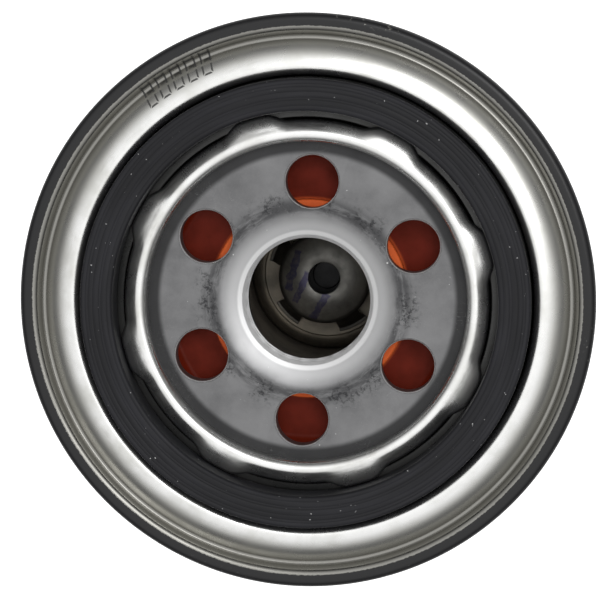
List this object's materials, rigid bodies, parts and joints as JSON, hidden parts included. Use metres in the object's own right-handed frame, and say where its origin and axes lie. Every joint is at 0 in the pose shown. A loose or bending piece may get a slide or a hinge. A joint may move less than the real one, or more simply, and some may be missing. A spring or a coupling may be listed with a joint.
{
  "type": "oil filter",
  "caption": "Spin-on oil filter: crimped steel can with a threaded base plate, ring of inlet holes, square rubber gasket, silicone anti-drainback valve and bypass valve.",
  "frame": {"origin": "centre of the closed end's outer face, the lowest point of the canister's axis box", "axes": "+Z along the canister's axis, out of the threaded end"},
  "size_m": [0.08, 0.08, 0.0677],
  "materials": {
    "black_paint": "gloss black paint on drawn steel",
    "tin_plate": "bright tin plate, black paint over the rolled seam",
    "seam_compound": "set compound",
    "phosphated_steel": "dull grey phosphated steel with rub marks",
    "gasket_rubber": "matt moulded black rubber",
    "silicone": "orange-red silicone",
    "cap_steel": "plain pressed steel",
    "tube_steel": "oiled steel strip",
    "filter_paper": "resin-treated pleated paper",
    "plastisol": "set plastisol",
    "valve_steel": "pressed steel",
    "seal_rubber": "black rubber",
    "spring_steel": "drawn spring wire",
    "cage_steel": "pressed steel with dark streaks",
    "leaf_steel": "blued spring steel"
  },
  "bodies": {
    "housing": {"canister": "black_paint", "seam_lid": "tin_plate", "seam_sealant": "seam_compound", "base_plate": "phosphated_steel", "sealing_gasket": "gasket_rubber", "support_spring": "leaf_steel"},
    "drainback_valve": {"anti_drainback_valve": "silicone"},
    "filter_element": {"top_end_cap": "cap_steel", "bottom_end_cap": "cap_steel", "center_tube": "tube_steel", "pleated_media": "filter_paper", "media_seam_clip": "cap_steel", "top_adhesive": "plastisol", "bottom_adhesive": "plastisol", "bypass_valve_seat": "valve_steel", "bypass_cage": "cage_steel", "bypass_spring": "spring_steel"},
    "bypass_poppet": {"bypass_valve_disc": "valve_steel", "bypass_valve_seal": "seal_rubber", "bypass_seal_rivet": "valve_steel"}
  },
  "joints": [
    {"name": "drainback_lip_opens", "type": "slide", "parent": "housing", "child": "drainback_valve", "axis": [0, 0, -1], "range_m": [0, 0.0012], "stiffness_N_per_m": 300, "deforming": ["anti_drainback_valve"]},
    {"name": "element_float", "type": "slide", "parent": "housing", "child": "filter_element", "axis": [0, 0, 1], "range_m": [-0.002, 0], "stiffness_N_per_m": 10000, "deforming": ["support_spring"]},
    {"name": "bypass_lift", "type": "slide", "parent": "filter_element", "child": "bypass_poppet", "axis": [0, 0, 1], "range_m": [0, 0.003], "stiffness_N_per_m": 3000, "deforming": ["bypass_spring"]}
  ]
}
